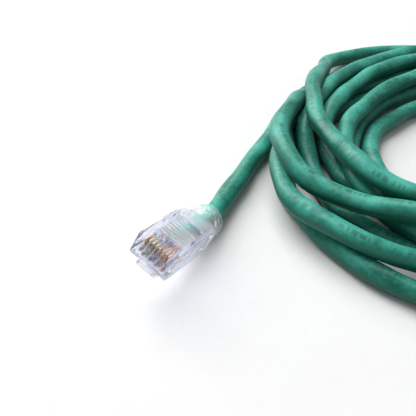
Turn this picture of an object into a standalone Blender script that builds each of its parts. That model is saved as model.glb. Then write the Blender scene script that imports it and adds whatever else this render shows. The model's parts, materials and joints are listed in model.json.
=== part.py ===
"""Ethernet patch cable: two clear eight-contact plugs on twelve feet of round green cable.

Units are metres and +Z is up. Plug A lies on the floor at the origin with its nose towards -Y.
Its cable runs back to a flat oval coil, and plug B lies inside the coil. Each plug is first
laid out in its own frame: X across the plug, Y from the nose to the cable, Z from the latch
side (0) to the contact side, and an empty then turns and places it.
"""

import math

import bmesh
import bpy
from mathutils import Matrix, Vector

MM = 0.001

# Plug body
PLUG_WIDTH = 11.68 * MM
PLUG_LENGTH = 21.46 * MM
NOSE_HEIGHT = 6.60 * MM
SHOULDER_Y = 9.20 * MM         # where the body steps up to its side rails
RAIL_HEIGHT = 7.80 * MM
RAIL_WIDTH = 1.40 * MM
RAIL_INSET = 0.35 * MM
RAIL_SINK = 0.68 * MM          # how deep the rails stand in the body below its top
CROSS_WALL_HEIGHT = 7.20 * MM
CROSS_WALL = 1.50 * MM
CORNER = 0.45 * MM
FRONT_WALL = 0.60 * MM
FLOOR_WALL = 0.80 * MM
SIDE_WALL = 1.50 * MM
NECK_START = 16.20 * MM
NECK_WALL = 0.55 * MM
NECK_WIDTH = 9.80 * MM
NECK_CORNER = 1.00 * MM

# Contacts and wires
WAYS = 8
PITCH = 1.016 * MM
CONTACT_THICKNESS = 0.35 * MM
CONTACT_FRONT = 0.75 * MM
CONTACT_LENGTH = 3.55 * MM
CONTACT_TOP = 5.95 * MM
CONTACT_TEETH = 3
CONTACT_CORNER = 0.43 * MM
SLOT_SIDE_GAP = 0.11 * MM
SLOT_FRONT_GAP = 0.13 * MM
SLOT_BACK_GAP = 0.17 * MM
SLOT_DEPTH = 0.15 * MM         # how far the slots reach into the tunnel of the load bar
SLOT_MOUTH = 4.50 * MM         # how far down the slots open through the nose
WIRE_RADIUS = 0.43 * MM
WIRE_START = 0.80 * MM
UPPER_ROW = 2.32 * MM
LOWER_ROW = 1.38 * MM
WIRE_GAP = 0.12 * MM
WIRE_SPREAD = 0.58 * MM        # how far above or below the jacket's axis a wire enters it

# Load bar, which holds the wires in two staggered rows
BAR_START = 1.50 * MM
BAR_LENGTH = 4.70 * MM
BAR_GAP = 0.15 * MM
HOLE_CLEARANCE = 0.09 * MM
HOLE_SIDES = 8
TUNNEL_TOP = 3.50 * MM
TUNNEL_END = 6.50 * MM

# Strain relief, a ribbed bar in a window over the jacket
WINDOW_START = 5.60 * MM
WINDOW_LENGTH = 9.00 * MM
WINDOW_WIDTH = 7.90 * MM
RELIEF_GAP = 0.25 * MM
RELIEF_HEIGHT = 0.85 * MM
RELIEF_PLATE = 0.35 * MM
RIBS = 7
RIB_THICKNESS = 0.62 * MM

# Latch
LATCH_WIDE = 6.10 * MM
LATCH_NARROW = 3.25 * MM
LATCH_SHOULDER_Y = 8.70 * MM
LATCH_LENGTH = 14.50 * MM
LATCH_DROP = 5.00 * MM
LATCH_THICKNESS = 0.90 * MM
LATCH_GAP = 0.30 * MM
LATCH_TOE_Y = 0.54 * MM
LATCH_TOE_Z = -1.35 * MM
LATCH_KNEE_Y = 1.08 * MM
LATCH_KNEE_Z = -2.34 * MM
LATCH_CROOK_Y = 2.04 * MM      # inside of the bend, next to the body
LATCH_ELBOW_Y = 3.12 * MM      # where the lever's upper face begins
HINGE_Y = 1.20 * MM
HINGE_Z = -0.80 * MM

# Boot
BOOT_START = 16.50 * MM
BOOT_WIDTH = 11.90 * MM
BOOT_BOTTOM = -0.50 * MM
BOOT_TOP = 7.60 * MM
BOOT_END = 28.50 * MM
BOOT_GAP = 0.15 * MM
BOOT_NECK_RADIUS = 4.05 * MM
BOOT_RIB_RADIUS = 4.80 * MM
BOOT_RIBS = 3
BOOT_RIB_PITCH = 1.30 * MM
BOOT_BORE_GAP = 0.30 * MM
BOOT_TAPER_END = 24.20 * MM
BOOT_SHOULDER_Y = 18.90 * MM   # where the collar begins to narrow
BOOT_WAIST_Y = 21.59 * MM
BOOT_WAIST_WIDTH = 10.82 * MM
BOOT_SIDES = 24
RIB_RISE = 0.3                 # share of a rib's pitch where it reaches its full height
RIB_FALL = 0.8                 # share of a rib's pitch where it leaves its full height
# Squareness of the boot's sections: 2 is round, and larger is more square
COLLAR_SQUARE = 7.0
SHOULDER_SQUARE = 6.0
WAIST_SQUARE = 3.2
ROUND = 2.0
NECK_SQUARE = 9.0

# Cable
CABLE_RADIUS = 3.05 * MM
JACKET_START = 9.60 * MM       # how far behind the nose the jacket begins
JACKET_SQUEEZE = 0.785         # share of its radius that the strain relief leaves the jacket
JACKET_GAP = 0.15 * MM

# Heights that follow from the jacket inside a plug
SQUEEZED = CABLE_RADIUS * JACKET_SQUEEZE
CABLE_AXIS = FLOOR_WALL + JACKET_GAP + SQUEEZED
HOLLOW_TOP = CABLE_AXIS + SQUEEZED + JACKET_GAP
NECK_BOTTOM = FLOOR_WALL - NECK_WALL
NECK_TOP = HOLLOW_TOP + NECK_WALL

# How the plugs lie
PLUG_A_PITCH = math.radians(20.3)
PLUG_A_ROLL = math.radians(19.5)
PLUG_B_PLACE = Vector((0.0890, 0.0600, 0.0))

# Coil
COIL_MIDDLE = Vector((0.0629, 0.0886, 0.0))
COIL_OUTER_RADIUS = 78.9 * MM
COIL_INNER_RADIUS = 50.5 * MM
COIL_OVAL = 0.887              # width over depth
COIL_HEIGHT = 18.0 * MM
COIL_CORNER = 4.0 * MM
COIL_SIDES = 72
CORNER_MIDDLE = 0.3            # share of a corner's size that its middle point stands in

# The lead's route on the floor behind plug A, chosen by hand (x, y, z in millimetres)
LEAD_ROUTE_MM = (
    (-0.4, 19.6, 3.3),
    (-1.2, 27.0, 3.1),
    (-1.9, 36.0, 3.1),
    (-2.2, 45.0, 3.1),
    (-2.2, 50.4, 3.1),
)
# The tail inside the coil: angle round its own centre (degrees), radius and height (mm)
TAIL_CENTRE = Vector((0.0739, 0.0886, 0.0))
TAIL_ROUTE = (
    (257.0, 48.2, 3.1),
    (242.0, 48.3, 3.1),
    (224.0, 48.0, 3.1),
    (210.0, 48.0, 3.1),
    (197.0, 47.8, 3.1),
    (185.0, 46.3, 3.1),
    (172.0, 43.6, 3.1),
    (155.0, 41.4, 3.1),
    (135.0, 40.6, 3.1),
    (113.6, 38.2, 3.1),
    (93.3, 33.3, 3.1),
    (72.9, 27.6, 3.1),
    (53.3, 21.9, 3.5),
    (30.9, 17.1, 4.4),
)
ROUTE_STEP = 6.0 * MM
CURVE_STEPS = 24               # fine steps between two points of a route

WIRE_COLOURS = {
    1: ("wire_white_orange", (0.90, 0.70, 0.55, 1.0)),
    2: ("wire_orange", (0.85, 0.26, 0.05, 1.0)),
    3: ("wire_white_green", (0.72, 0.86, 0.72, 1.0)),
    4: ("wire_blue", (0.05, 0.12, 0.42, 1.0)),
    5: ("wire_white_blue", (0.68, 0.74, 0.88, 1.0)),
    6: ("wire_green", (0.05, 0.32, 0.10, 1.0)),
    7: ("wire_white_brown", (0.80, 0.70, 0.62, 1.0)),
    8: ("wire_brown", (0.30, 0.11, 0.05, 1.0)),
}


def clear_scene():
    """Remove every object, mesh, curve and material of the open file."""
    for thing in list(bpy.data.objects):
        bpy.data.objects.remove(thing, do_unlink=True)
    for group in (bpy.data.meshes, bpy.data.curves, bpy.data.materials, bpy.data.collections):
        for thing in list(group):
            group.remove(thing)


def new_collection(name):
    """A collection linked to the scene."""
    made = bpy.data.collections.new(name)
    bpy.context.scene.collection.children.link(made)
    return made


def finish_material(name, colour, roughness, metallic=0.0, transmission=0.0):
    """A Principled material, made once for each name."""
    found = bpy.data.materials.get(name)
    if found:
        return found
    made = bpy.data.materials.new(name)
    made.use_nodes = True
    shader = made.node_tree.nodes["Principled BSDF"]
    shader.inputs["Base Color"].default_value = colour
    shader.inputs["Roughness"].default_value = roughness
    shader.inputs["Metallic"].default_value = metallic
    shader.inputs["Transmission Weight"].default_value = transmission
    made.diffuse_color = colour
    return made


def clear_plastic():
    """Clear polycarbonate with a faint violet tint."""
    return finish_material("clear_plastic", (0.88, 0.90, 0.97, 1.0), 0.08, transmission=1.0)


def clear_vinyl():
    """Softer clear plastic of the boots."""
    return finish_material("clear_vinyl", (0.90, 0.93, 0.95, 1.0), 0.2, transmission=1.0)


def gold_plate():
    """Gold plating of the contacts."""
    return finish_material("gold_plate", (0.83, 0.62, 0.24, 1.0), 0.22, metallic=1.0)


def green_jacket():
    """Green PVC jacket."""
    return finish_material("green_jacket", (0.02, 0.30, 0.22, 1.0), 0.42)


def add_object(name, data, group, material=None):
    """Link an object that carries the data into a collection."""
    made = bpy.data.objects.new(name, data)
    group.objects.link(made)
    if material:
        data.materials.append(material)
    return made


def as_helper(thing):
    """Mark an object as a cutter that is never rendered."""
    thing.hide_render = True
    thing.display_type = "WIRE"
    return thing


def mesh_from(bm, name):
    """Store a bmesh in a new mesh with its faces pointing out."""
    bmesh.ops.recalc_face_normals(bm, faces=bm.faces)
    data = bpy.data.meshes.new(name)
    bm.to_mesh(data)
    bm.free()
    return data


def add_block(bm, low, high, rounding=0.0):
    """Add a box between two corners to a bmesh, with its edges along Y rounded if asked."""
    low, high = Vector(low), Vector(high)
    size = high - low
    matrix = Matrix.Translation((low + high) / 2) @ Matrix.Diagonal((*size, 1.0))
    made = bmesh.ops.create_cube(bm, size=1.0, matrix=matrix)
    if rounding:
        edges = {edge for vert in made["verts"] for edge in vert.link_edges}
        along = [e for e in edges if abs(e.verts[0].co.y - e.verts[1].co.y) > size.y / 2]
        bmesh.ops.bevel(bm, geom=along, offset=rounding, segments=2, affect="EDGES", profile=0.5)


def add_profile(bm, outline, left, right):
    """Add a solid with a (y, z) outline, drawn from x = left to x = right."""
    floor = [bm.verts.new((left, y, z)) for y, z in outline]
    face = bm.faces.new(floor)
    pushed = bmesh.ops.extrude_face_region(bm, geom=[face])
    moved = [v for v in pushed["geom"] if isinstance(v, bmesh.types.BMVert)]
    bmesh.ops.translate(bm, verts=moved, vec=(right - left, 0.0, 0.0))


def boolean(target, helper, operation):
    """Combine the target with a helper object."""
    step = target.modifiers.new(operation.lower(), "BOOLEAN")
    step.operation = operation
    step.solver = "EXACT"
    step.object = as_helper(helper)


def pin_x(pin):
    """Place of a contact across the plug: contact 1 is on the +X side."""
    return ((WAYS + 1) / 2 - pin) * PITCH


def wire_row(pin):
    """Height of a wire in the load bar: even wires lie in the upper row."""
    return UPPER_ROW if pin % 2 == 0 else LOWER_ROW


def housing(tag, parts, cutters):
    """Clear body: a nose with eight slots, side rails, a neck for the boot and a hollow."""
    half = PLUG_WIDTH / 2
    bm = bmesh.new()
    add_block(bm, (-half, 0.0, 0.0), (half, NECK_START, NOSE_HEIGHT))
    body = add_object(f"housing_{tag}", mesh_from(bm, f"housing_{tag}"), parts, clear_plastic())
    edge = body.modifiers.new("corners", "BEVEL")
    edge.width = CORNER
    edge.segments = 2

    sunk = NOSE_HEIGHT - RAIL_SINK
    rail_out = half - RAIL_INSET
    rail_in = rail_out - RAIL_WIDTH
    bm = bmesh.new()
    for side in (-1, 1):
        near, far = sorted((side * rail_in, side * rail_out))
        add_block(bm, (near, SHOULDER_Y, sunk), (far, NECK_START - CORNER / 2, RAIL_HEIGHT))
    add_block(
        bm,
        (-NECK_WIDTH / 2, NECK_START - CORNER * 2, NECK_BOTTOM),
        (NECK_WIDTH / 2, PLUG_LENGTH, NECK_TOP),
        NECK_CORNER,
    )
    boolean(body, add_object(f"rails_{tag}", mesh_from(bm, "rails"), cutters), "UNION")

    bm = bmesh.new()
    add_block(
        bm,
        (-rail_in - CORNER / 2, WINDOW_START + WINDOW_LENGTH - CORNER, sunk + CORNER / 4),
        (rail_in + CORNER / 2, WINDOW_START + WINDOW_LENGTH - CORNER + CROSS_WALL, CROSS_WALL_HEIGHT),
    )
    boolean(body, add_object(f"cross_wall_{tag}", mesh_from(bm, "cross_wall"), cutters), "UNION")

    inside = half - SIDE_WALL
    past = PLUG_LENGTH + CORNER
    bm = bmesh.new()
    add_profile(
        bm,
        (
            (FRONT_WALL, FLOOR_WALL),
            (past, FLOOR_WALL),
            (past, HOLLOW_TOP),
            (TUNNEL_END, HOLLOW_TOP),
            (TUNNEL_END, TUNNEL_TOP),
            (FRONT_WALL, TUNNEL_TOP),
        ),
        -inside,
        inside,
    )
    boolean(body, add_object(f"hollow_{tag}", mesh_from(bm, "hollow"), cutters), "DIFFERENCE")

    bm = bmesh.new()
    add_block(
        bm,
        (-WINDOW_WIDTH / 2, WINDOW_START, HOLLOW_TOP - CORNER),
        (WINDOW_WIDTH / 2, WINDOW_START + WINDOW_LENGTH, RAIL_HEIGHT + CORNER),
    )
    boolean(body, add_object(f"window_{tag}", mesh_from(bm, "window"), cutters), "DIFFERENCE")

    slot = CONTACT_THICKNESS / 2 + SLOT_SIDE_GAP
    front = CONTACT_FRONT - SLOT_FRONT_GAP
    back = CONTACT_FRONT + CONTACT_LENGTH + SLOT_BACK_GAP
    above = NOSE_HEIGHT + CORNER
    bm = bmesh.new()
    for pin in range(1, WAYS + 1):
        add_profile(
            bm,
            (
                (-CORNER, SLOT_MOUTH),
                (front, SLOT_MOUTH),
                (front, TUNNEL_TOP - SLOT_DEPTH),
                (back, TUNNEL_TOP - SLOT_DEPTH),
                (back, above),
                (-CORNER, above),
            ),
            pin_x(pin) - slot,
            pin_x(pin) + slot,
        )
    boolean(body, add_object(f"slots_{tag}", mesh_from(bm, "slots"), cutters), "DIFFERENCE")
    return body


def contact(tag, pin, parts):
    """Gold-plated blade: a flat top, a rounded front corner and three piercing teeth."""
    front = CONTACT_FRONT
    back = front + CONTACT_LENGTH
    tip = wire_row(pin) + WIRE_RADIUS + WIRE_GAP
    root = TUNNEL_TOP + WIRE_RADIUS
    notch = tip + WIRE_RADIUS
    corner = CONTACT_CORNER
    middle = corner * CORNER_MIDDLE
    tooth = CONTACT_LENGTH / (2 * CONTACT_TEETH + 2)
    outline = [(front, root + corner), (front, CONTACT_TOP - corner)]
    outline += [(front + middle, CONTACT_TOP - middle)]
    outline += [(front + corner, CONTACT_TOP), (back - corner, CONTACT_TOP)]
    outline += [(back, CONTACT_TOP - corner), (back, root)]
    for step in range(CONTACT_TEETH):
        low_y = back - tooth * (1.5 + 2 * step)
        outline += [(low_y, tip)]
        if step < CONTACT_TEETH - 1:
            outline += [(low_y - tooth, notch)]
    outline += [(front + tooth, root)]
    bm = bmesh.new()
    half = CONTACT_THICKNESS / 2
    add_profile(bm, outline, pin_x(pin) - half, pin_x(pin) + half)
    name = f"contact_{tag}{pin}"
    return add_object(name, mesh_from(bm, name), parts, gold_plate())


def load_bar(tag, parts, cutters):
    """Clear guide block with two staggered rows of holes and a slot over each."""
    wide = PLUG_WIDTH / 2 - SIDE_WALL - BAR_GAP
    low = FLOOR_WALL + BAR_GAP
    high = TUNNEL_TOP - BAR_GAP
    bm = bmesh.new()
    add_block(bm, (-wide, BAR_START, low), (wide, BAR_START + BAR_LENGTH, high))
    name = f"load_bar_{tag}"
    bar = add_object(name, mesh_from(bm, name), parts, clear_plastic())

    bm = bmesh.new()
    turn = Matrix.Rotation(math.radians(90), 4, "X")
    for pin in range(1, WAYS + 1):
        middle = Vector((pin_x(pin), BAR_START + BAR_LENGTH / 2, wire_row(pin)))
        bmesh.ops.create_cone(
            bm,
            cap_ends=True,
            segments=HOLE_SIDES,
            radius1=WIRE_RADIUS + HOLE_CLEARANCE,
            radius2=WIRE_RADIUS + HOLE_CLEARANCE,
            depth=BAR_LENGTH + CORNER * 2,
            matrix=Matrix.Translation(middle) @ turn,
        )
    boolean(bar, add_object(f"holes_{tag}", mesh_from(bm, "holes"), cutters), "DIFFERENCE")

    slot = CONTACT_THICKNESS / 2 + SLOT_SIDE_GAP / 2
    bm = bmesh.new()
    for pin in range(1, WAYS + 1):
        add_block(
            bm,
            (pin_x(pin) - slot, BAR_START - CORNER, wire_row(pin)),
            (pin_x(pin) + slot, CONTACT_FRONT + CONTACT_LENGTH + BAR_GAP, high + CORNER),
        )
    boolean(bar, add_object(f"bar_slots_{tag}", mesh_from(bm, "bar_slots"), cutters), "DIFFERENCE")
    return bar


def strain_relief(tag, parts):
    """Ribbed clamp bar in the window: a thin plate that carries cross ribs."""
    start = WINDOW_START + RELIEF_GAP
    end = WINDOW_START + WINDOW_LENGTH - RELIEF_GAP
    low = CABLE_AXIS + SQUEEZED + JACKET_GAP
    plate = low + RELIEF_PLATE
    top = low + RELIEF_HEIGHT
    pitch = (end - start - RIB_THICKNESS) / (RIBS - 1)
    outline = [(start, low), (end, low)]
    for rib in reversed(range(RIBS)):
        near = start + rib * pitch
        outline += [(near + RIB_THICKNESS, top), (near, top)]
        if rib:
            outline += [(near, plate), (near - pitch + RIB_THICKNESS, plate)]
    bm = bmesh.new()
    wide = WINDOW_WIDTH / 2 - RELIEF_GAP
    add_profile(bm, outline, -wide, wide)
    name = f"strain_relief_{tag}"
    return add_object(name, mesh_from(bm, name), parts, clear_plastic())


def latch(tag, parts, cutters):
    """Springy tongue under the nose: wide to its shoulders, then a narrow finger lever.

    Its own origin is on the hinge line, and it turns about X towards the body.
    """
    root = -LATCH_GAP
    slope = (LATCH_DROP + LATCH_KNEE_Z) / LATCH_LENGTH
    outline = (
        (LATCH_TOE_Y, root),
        (LATCH_TOE_Y, LATCH_TOE_Z),
        (LATCH_KNEE_Y, LATCH_KNEE_Z),
        (LATCH_LENGTH, -LATCH_DROP),
        (LATCH_LENGTH, -LATCH_DROP + LATCH_THICKNESS),
        (LATCH_ELBOW_Y, LATCH_KNEE_Z - slope * LATCH_ELBOW_Y + LATCH_THICKNESS),
        (LATCH_CROOK_Y, root - LATCH_GAP),
    )
    bm = bmesh.new()
    add_profile(bm, outline, -LATCH_WIDE / 2, LATCH_WIDE / 2)
    bmesh.ops.translate(bm, verts=bm.verts, vec=(0.0, -HINGE_Y, -HINGE_Z))
    name = f"latch_{tag}"
    tongue = add_object(name, mesh_from(bm, name), parts, clear_plastic())
    tongue.location = (0.0, HINGE_Y, HINGE_Z)

    bm = bmesh.new()
    for side in (-1, 1):
        near, far = sorted((side * LATCH_NARROW / 2, side * LATCH_WIDE))
        add_block(
            bm,
            (near, LATCH_SHOULDER_Y, -LATCH_DROP - LATCH_THICKNESS),
            (far, LATCH_LENGTH + LATCH_THICKNESS, LATCH_THICKNESS),
        )
    boolean(tongue, add_object(f"shoulders_{tag}", mesh_from(bm, "shoulders"), cutters), "DIFFERENCE")
    return tongue


def ring_points(half_x, low, high, squareness, count):
    """Points of a superellipse: squareness 2 is round, and larger is more square."""
    middle = (low + high) / 2
    half_z = (high - low) / 2
    points = []
    for step in range(count):
        angle = math.tau * (step + 0.5) / count
        c, s = math.cos(angle), math.sin(angle)
        x = half_x * math.copysign(abs(c) ** (2 / squareness), c)
        z = middle + half_z * math.copysign(abs(s) ** (2 / squareness), s)
        points.append((x, z))
    return points


def boot(tag, parts):
    """Clear boot: a square collar over the neck that tapers to a round, ribbed tail.

    The wall is a loft that runs back along the outside and forward again along the inside.
    """
    count = BOOT_SIDES
    bore = CABLE_RADIUS + BOOT_BORE_GAP
    inner_half = NECK_WIDTH / 2 + BOOT_GAP
    inner_low, inner_high = NECK_BOTTOM - BOOT_GAP, NECK_TOP + BOOT_GAP
    sections = [
        (BOOT_START, BOOT_WIDTH / 2, BOOT_BOTTOM, BOOT_TOP, COLLAR_SQUARE),
        (BOOT_SHOULDER_Y, BOOT_WIDTH / 2, BOOT_BOTTOM, BOOT_TOP, SHOULDER_SQUARE),
        (BOOT_WAIST_Y, BOOT_WAIST_WIDTH / 2, BOOT_BOTTOM, BOOT_TOP, WAIST_SQUARE),
    ]
    neck = (CABLE_AXIS - BOOT_NECK_RADIUS, CABLE_AXIS + BOOT_NECK_RADIUS)
    rib = (CABLE_AXIS - BOOT_RIB_RADIUS, CABLE_AXIS + BOOT_RIB_RADIUS)
    sections.append((BOOT_TAPER_END, BOOT_NECK_RADIUS, *neck, ROUND))
    for number in range(BOOT_RIBS):
        y = BOOT_END - (BOOT_RIBS - number) * BOOT_RIB_PITCH
        sections.append((y, BOOT_NECK_RADIUS, *neck, ROUND))
        sections.append((y + BOOT_RIB_PITCH * RIB_RISE, BOOT_RIB_RADIUS, *rib, ROUND))
        sections.append((y + BOOT_RIB_PITCH * RIB_FALL, BOOT_RIB_RADIUS, *rib, ROUND))
    sections.append((BOOT_END, BOOT_NECK_RADIUS, *neck, ROUND))
    sections.append((BOOT_END, bore, CABLE_AXIS - bore, CABLE_AXIS + bore, ROUND))
    neck_end = PLUG_LENGTH + BOOT_GAP
    sections.append((neck_end + CORNER, bore, CABLE_AXIS - bore, CABLE_AXIS + bore, ROUND))
    sections.append((neck_end, inner_half, inner_low, inner_high, NECK_SQUARE))
    sections.append((BOOT_START, inner_half, inner_low, inner_high, NECK_SQUARE))

    bm = bmesh.new()
    rings = []
    for y, half_x, low, high, squareness in sections:
        ring = [bm.verts.new((x, y, z)) for x, z in ring_points(half_x, low, high, squareness, count)]
        rings.append(ring)
    for this, other in zip(rings, rings[1:] + rings[:1]):
        for step in range(count):
            after = (step + 1) % count
            bm.faces.new((this[step], this[after], other[after], other[step]))
    name = f"boot_{tag}"
    data = mesh_from(bm, name)
    data.shade_smooth()
    data.set_sharp_from_angle(angle=math.radians(35))
    return add_object(name, data, parts, clear_vinyl())


def tube(name, points, radius, parts, material, squeeze=None, resolution=2):
    """Round solid along a polyline; squeeze gives each point's share of the radius."""
    data = bpy.data.curves.new(name, "CURVE")
    data.dimensions = "3D"
    data.bevel_depth = radius
    data.bevel_resolution = resolution
    data.use_fill_caps = True
    spline = data.splines.new("POLY")
    spline.points.add(len(points) - 1)
    for number, point in enumerate(points):
        spline.points[number].co = (*point, 1.0)
        spline.points[number].radius = squeeze[number] if squeeze else 1.0
    spline.use_smooth = True
    return add_object(name, data, parts, material)


def wire(tag, pin, parts):
    """Insulated wire from its load bar hole back to the jacket's end."""
    x, z = pin_x(pin), wire_row(pin)
    rise = WIRE_SPREAD
    end = Vector((x / 2, JACKET_START - JACKET_GAP, CABLE_AXIS + (rise if pin % 2 == 0 else -rise)))
    straight = BAR_START + BAR_LENGTH
    points = [Vector((x, WIRE_START, z)), Vector((x, straight, z))]
    for share in (0.25, 0.5, 0.75, 1.0):
        blend = share * share * (3 - 2 * share)
        y = straight + (end.y - straight) * share
        points.append(Vector((x + (end.x - x) * blend, y, z + (end.z - z) * blend)))
    name, colour = WIRE_COLOURS[pin]
    return tube(f"wire_{tag}{pin}", points, WIRE_RADIUS, parts, finish_material(name, colour, 0.4))


def build_plug(tag, parts, cutters):
    """Every piece of one plug, each parented to the plug's own empty."""
    frame = bpy.data.objects.new(f"plug_{tag}_frame", None)
    parts.objects.link(frame)
    frame.rotation_mode = "YXZ"
    first = set(parts.objects) | set(cutters.objects)
    housing(tag, parts, cutters)
    latch(tag, parts, cutters)
    load_bar(tag, parts, cutters)
    strain_relief(tag, parts)
    boot(tag, parts)
    for pin in range(1, WAYS + 1):
        contact(tag, pin, parts)
        wire(tag, pin, parts)
    for piece in (set(parts.objects) | set(cutters.objects)) - first:
        piece.parent = frame
    return frame


def bottom_centre(frame):
    """Lowest middle point of the box round the pieces that hang on a plug's empty."""
    graph = bpy.context.evaluated_depsgraph_get()
    graph.update()
    corners = []
    for piece in frame.children:
        if piece.display_type == "WIRE":
            continue
        shape = piece.evaluated_get(graph)
        mesh = shape.to_mesh()
        corners += [shape.matrix_world @ v.co for v in mesh.vertices]
        shape.to_mesh_clear()
    low = Vector(min(c[axis] for c in corners) for axis in range(3))
    high = Vector(max(c[axis] for c in corners) for axis in range(3))
    return Vector(((low.x + high.x) / 2, (low.y + high.y) / 2, low.z))


def smooth_route(points, step):
    """Even points on a smooth (Catmull-Rom) curve through the given points."""
    ends = [points[0] * 2 - points[1]] + list(points) + [points[-1] * 2 - points[-2]]
    fine = []
    for a, b, c, d in zip(ends, ends[1:], ends[2:], ends[3:]):
        for count in range(CURVE_STEPS):
            t = count / CURVE_STEPS
            fine.append(
                0.5
                * (
                    2 * b
                    + (c - a) * t
                    + (2 * a - 5 * b + 4 * c - d) * t * t
                    + (3 * b - a - 3 * c + d) * t * t * t
                )
            )
    fine.append(points[-1].copy())
    lengths = [0.0]
    for a, b in zip(fine, fine[1:]):
        lengths.append(lengths[-1] + (b - a).length)
    pieces = max(2, round(lengths[-1] / step))
    even = []
    at = 0
    for number in range(pieces + 1):
        target = lengths[-1] * number / pieces
        while at < len(fine) - 2 and lengths[at + 1] < target:
            at += 1
        share = (target - lengths[at]) / max(lengths[at + 1] - lengths[at], 1e-9)
        even.append(fine[at].lerp(fine[at + 1], min(share, 1.0)))
    return even


def jacket_in_plug(frame):
    """The jacket's axis inside a plug: its start, where it leaves the body, and the exit."""
    places = (JACKET_START, WINDOW_START + WINDOW_LENGTH, PLUG_LENGTH + CORNER, BOOT_END)
    return [frame.matrix_world @ Vector((0.0, y, CABLE_AXIS)) for y in places]


def cable_piece(name, plug, route, parts):
    """A stretch of cable from inside a plug along a route, squeezed under the strain relief."""
    inside = jacket_in_plug(plug)
    points = inside[:-1] + smooth_route([inside[-1]] + route, ROUTE_STEP)
    squeeze = [JACKET_SQUEEZE] * 3 + [1.0] * (len(points) - 3)
    return tube(name, points, CABLE_RADIUS, parts, green_jacket(), squeeze)


def coil_ring(parts):
    """Stand-in for the wound turns: an oval ring with rounded shoulders."""
    inner, outer, top, corner = COIL_INNER_RADIUS, COIL_OUTER_RADIUS, COIL_HEIGHT, COIL_CORNER
    middle = corner * CORNER_MIDDLE
    bm = bmesh.new()
    outline = [
        (inner, 0.0),
        (outer, 0.0),
        (outer, top - corner),
        (outer - middle, top - middle),
        (outer - corner, top),
        (inner + corner, top),
        (inner + middle, top - middle),
        (inner, top - corner),
    ]
    ring = [bm.verts.new((radius, 0.0, z)) for radius, z in outline]
    edges = [bm.edges.new((a, b)) for a, b in zip(ring, ring[1:] + ring[:1])]
    bmesh.ops.spin(
        bm,
        geom=ring + edges,
        axis=(0.0, 0.0, 1.0),
        cent=(0.0, 0.0, 0.0),
        angle=math.tau,
        steps=COIL_SIDES,
        use_duplicate=False,
    )
    bmesh.ops.remove_doubles(bm, verts=bm.verts, dist=1e-6)
    bmesh.ops.scale(bm, verts=bm.verts, vec=(COIL_OVAL, 1.0, 1.0))
    data = mesh_from(bm, "cable_coil")
    data.shade_smooth()
    data.set_sharp_from_angle(angle=math.radians(35))
    ring = add_object("cable_coil", data, parts, green_jacket())
    ring.location = COIL_MIDDLE
    return ring


def main():
    """Build both plugs, place them and lay the cable between them."""
    clear_scene()
    parts = new_collection("ethernet_patch_cable")
    cutters = new_collection("cutters")

    plug_a = build_plug("a", parts, cutters)
    plug_a.rotation_euler = (-PLUG_A_PITCH, PLUG_A_ROLL, 0.0)
    bpy.context.view_layer.update()
    plug_a.location = -bottom_centre(plug_a)

    plug_b = build_plug("b", parts, cutters)
    plug_b.rotation_euler = (0.0, math.pi, 0.0)
    bpy.context.view_layer.update()
    plug_b.location = PLUG_B_PLACE - Vector((0.0, 0.0, bottom_centre(plug_b).z))
    bpy.context.view_layer.update()

    lead_route = [Vector(point) * MM for point in LEAD_ROUTE_MM]
    cable_piece("cable_lead", plug_a, lead_route, parts)

    tail_route = []
    for degrees, radius, height in reversed(TAIL_ROUTE):
        angle = math.radians(degrees)
        flat = Vector((math.cos(angle), math.sin(angle), 0.0)) * radius * MM
        tail_route.append(TAIL_CENTRE + flat + Vector((0.0, 0.0, height * MM)))
    cable_piece("cable_tail", plug_b, tail_route, parts)
    coil_ring(parts)


main()
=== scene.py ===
# %% [markdown]
# # A coiled ethernet patch cable
# Two clear eight-contact plugs sit on one long green cable. One plug lies on a white table with
# its nose towards us, the cable runs back from it into a loose flat coil, and the other plug lies
# inside the coil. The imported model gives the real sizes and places, and this file gives the looks.

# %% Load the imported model
import json
import math

import bmesh
import bpy
import numpy as np
from mathutils import Matrix, Vector


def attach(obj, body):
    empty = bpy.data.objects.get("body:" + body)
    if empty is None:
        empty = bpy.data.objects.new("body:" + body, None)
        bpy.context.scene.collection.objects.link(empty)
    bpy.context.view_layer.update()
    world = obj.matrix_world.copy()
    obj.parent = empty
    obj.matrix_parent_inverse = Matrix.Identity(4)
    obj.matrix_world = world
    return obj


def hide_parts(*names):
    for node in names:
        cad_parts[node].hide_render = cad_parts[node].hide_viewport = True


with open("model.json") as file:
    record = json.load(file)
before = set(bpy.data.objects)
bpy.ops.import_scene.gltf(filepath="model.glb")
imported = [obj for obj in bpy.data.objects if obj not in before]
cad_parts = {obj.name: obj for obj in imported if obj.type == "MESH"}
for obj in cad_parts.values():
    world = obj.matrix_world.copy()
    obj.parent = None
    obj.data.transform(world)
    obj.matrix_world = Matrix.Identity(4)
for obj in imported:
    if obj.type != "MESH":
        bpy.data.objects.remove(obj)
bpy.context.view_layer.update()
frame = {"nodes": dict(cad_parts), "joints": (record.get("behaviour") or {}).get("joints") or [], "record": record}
MM = 0.001

# %% [markdown]
# ## The camera
# It looks down at the plug from its front right, at about forty degrees, from only fourteen
# centimetres away. Such a short distance makes the plug look large beside the coil. The focal
# length is stated for a 36 mm wide sensor, so the field of view is about 45 degrees.

# %% Place the camera
CAMERA_PLACE = Vector((0.0512, -0.0758, 0.1015))
CAMERA_AIM = Vector((-0.371, 0.644, -0.669))
LENS = 43.27

camera_data = bpy.data.cameras.new("camera")
camera_data.lens = LENS
camera_data.clip_start = 0.01
camera = bpy.data.objects.new("camera", camera_data)
bpy.context.scene.collection.objects.link(camera)
camera.location = CAMERA_PLACE
camera.rotation_euler = CAMERA_AIM.to_track_quat("-Z", "Y").to_euler()
bpy.context.scene.camera = camera
print("camera", round(CAMERA_PLACE.length * 1000), "mm from the plug")

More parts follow.
